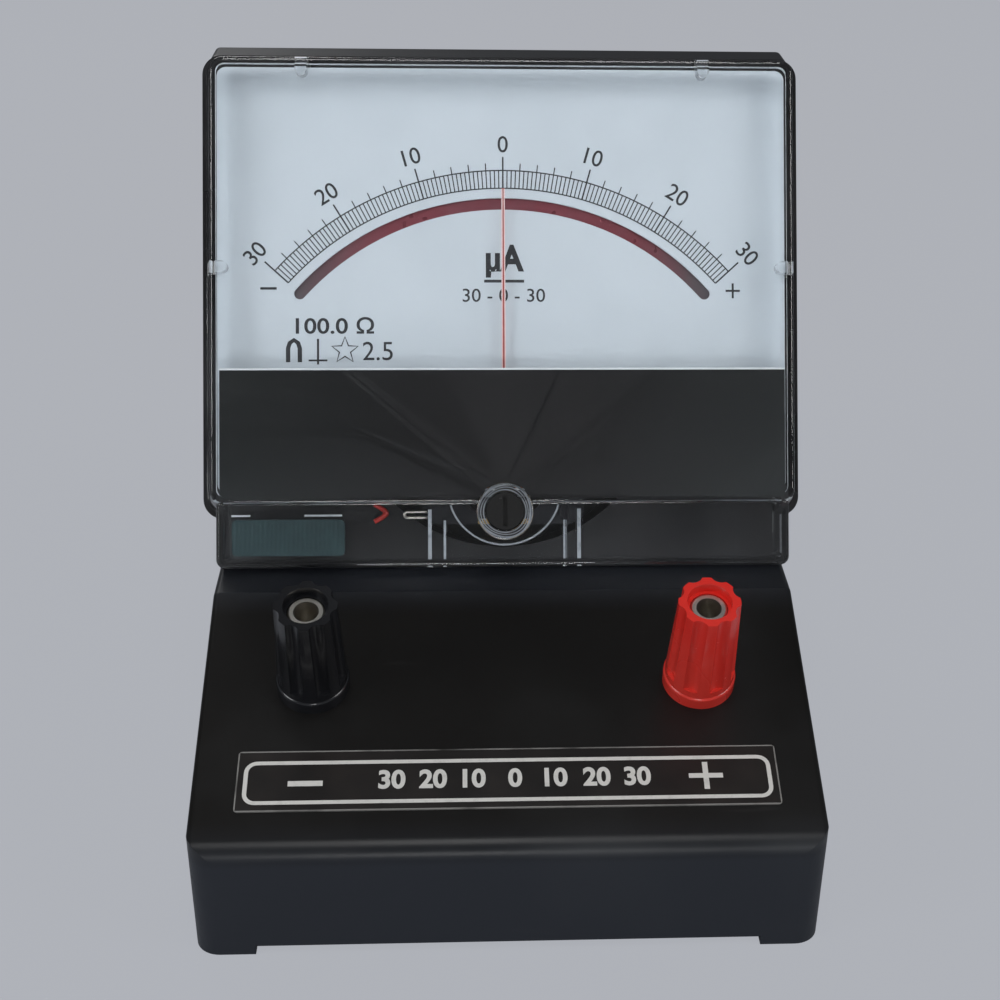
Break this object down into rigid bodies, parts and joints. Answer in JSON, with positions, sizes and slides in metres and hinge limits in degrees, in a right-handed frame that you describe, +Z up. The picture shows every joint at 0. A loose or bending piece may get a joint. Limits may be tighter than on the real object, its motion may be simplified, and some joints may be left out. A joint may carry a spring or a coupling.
{
  "type": "galvanometer",
  "caption": "Desk-stand galvanometer: moving-coil pointer over a mirror-scale dial under a clear cover, sloping deck with binding posts and screw caps",
  "frame": {"origin": "middle of the footprint, on the table", "axes": "+X to the right of someone facing the dial, +Y away from them to the back, +Z up"},
  "size_m": [0.104, 0.116, 0.1204],
  "materials": {
    "stand_black": "satin moulded black",
    "plate_black": "matt black sheet",
    "screw_steel": "zinc plated",
    "label_black": "satin black print on thin metal",
    "meter_black": "satin moulded black",
    "clear_plastic": "polished clear",
    "mask_black": "satin black",
    "dial_grey": "matt pale blue-grey",
    "mirror_glass": "silvered",
    "magnet_grey": "ground magnet alloy",
    "soft_iron": "plated soft iron",
    "brass_part": "turned",
    "jewel_brass": "turned, bright",
    "former_aluminium": "bare",
    "copper_winding": "enamelled copper",
    "pivot_steel": "polished",
    "spring_bronze": "phosphor bronze",
    "pointer_red": "dusky red paint",
    "card_teal": "dark varnished",
    "adjuster_black": "polished black",
    "post_red": "glossy red",
    "post_black": "glossy black",
    "nickel": "nickel plated",
    "bush_cream": "insulating, cream",
    "lead_red": "insulated, red",
    "lead_black": "insulated, black"
  },
  "bodies": {
    "stand": {"stand_housing": "stand_black", "bottom_plate": "plate_black", "bottom_screws": "screw_steel", "label_plate": "label_black", "meter_body": "meter_black", "clear_cover": "clear_plastic", "mask_plate": "mask_black", "dial_plate": "dial_grey", "mirror_strip": "mirror_glass", "dial_screws": "screw_steel", "meter_terminals": "brass_part", "meter_tags": "nickel", "meter_terminal_nuts": "brass_part", "mounting_studs": "screw_steel", "mounting_nuts": "screw_steel", "magnet": "magnet_grey", "pole_piece_left": "soft_iron", "pole_piece_right": "soft_iron", "movement_screws": "screw_steel", "core": "soft_iron", "core_carriers": "brass_part", "front_bridge": "brass_part", "rear_bridge": "brass_part", "bridge_screws": "screw_steel", "jewel_screw_front": "jewel_brass", "jewel_screw_rear": "jewel_brass", "spring_anchor": "brass_part", "resistor_card": "card_teal", "hairspring_front": "spring_bronze", "hairspring_rear": "spring_bronze", "post_collar_left": "post_black", "post_stud_left": "nickel", "post_bush_left": "bush_cream", "post_tag_left": "nickel", "post_nut_left": "brass_part", "lead_left": "lead_black", "post_collar_right": "post_red", "post_stud_right": "nickel", "post_bush_right": "bush_cream", "post_tag_right": "nickel", "post_nut_right": "brass_part", "lead_right": "lead_red"},
    "moving_coil": {"coil_former": "former_aluminium", "coil_winding": "copper_winding", "coil_pivot_front": "pivot_steel", "coil_pivot_rear": "pivot_steel", "needle": "pointer_red", "balance_weights": "brass_part"},
    "zero_screw_body": {"zero_screw": "adjuster_black"},
    "zero_lever_body": {"zero_lever": "brass_part"},
    "washer_left": {"post_washer_left": "nickel"},
    "washer_right": {"post_washer_right": "nickel"},
    "cap_left": {"post_cap_left": "post_black"},
    "cap_right": {"post_cap_right": "post_red"}
  },
  "joints": [
    {"name": "pointer_swing", "type": "hinge", "parent": "stand", "child": "moving_coil", "pos_m": [0, 0.00768, 0.05012], "axis": [0, -0.8978, 0.4404], "range_deg": [-50, 50], "stiffness_Nm_per_rad": 0.0002},
    {"name": "zero_screw_turn", "type": "hinge", "parent": "stand", "child": "zero_screw_body", "pos_m": [0, -0.00843, 0.05134], "axis": [0, -0.8978, 0.4404], "range_deg": [-60, 60]},
    {"name": "zero_lever_turn", "type": "hinge", "parent": "stand", "child": "zero_lever_body", "pos_m": [0, 0.00768, 0.05012], "axis": [0, -0.8978, 0.4404], "range_deg": [-11, 11]},
    {"name": "washer_lift_left", "type": "slide", "parent": "stand", "child": "washer_left", "axis": [0, -0.3461, 0.9382], "range_m": [0, 0.003]},
    {"name": "cap_turn_left", "type": "hinge", "parent": "washer_left", "child": "cap_left", "pos_m": [-0.0315, -0.02878, 0.03048], "axis": [0, -0.3461, 0.9382], "range_deg": [0, 1080]},
    {"name": "washer_lift_right", "type": "slide", "parent": "stand", "child": "washer_right", "axis": [0, -0.3461, 0.9382], "range_m": [0, 0.003]},
    {"name": "cap_turn_right", "type": "hinge", "parent": "washer_right", "child": "cap_right", "pos_m": [0.0315, -0.02878, 0.03048], "axis": [0, -0.3461, 0.9382], "range_deg": [0, 1080]}
  ],
  "couplings": [
    {"joint": "zero_lever_turn", "follows": "zero_screw_turn", "ratio": -0.1816},
    {"joint": "cap_turn_left", "follows": "washer_lift_left", "rad_per_m": 6283.2},
    {"joint": "cap_turn_right", "follows": "washer_lift_right", "rad_per_m": 6283.2}
  ]
}
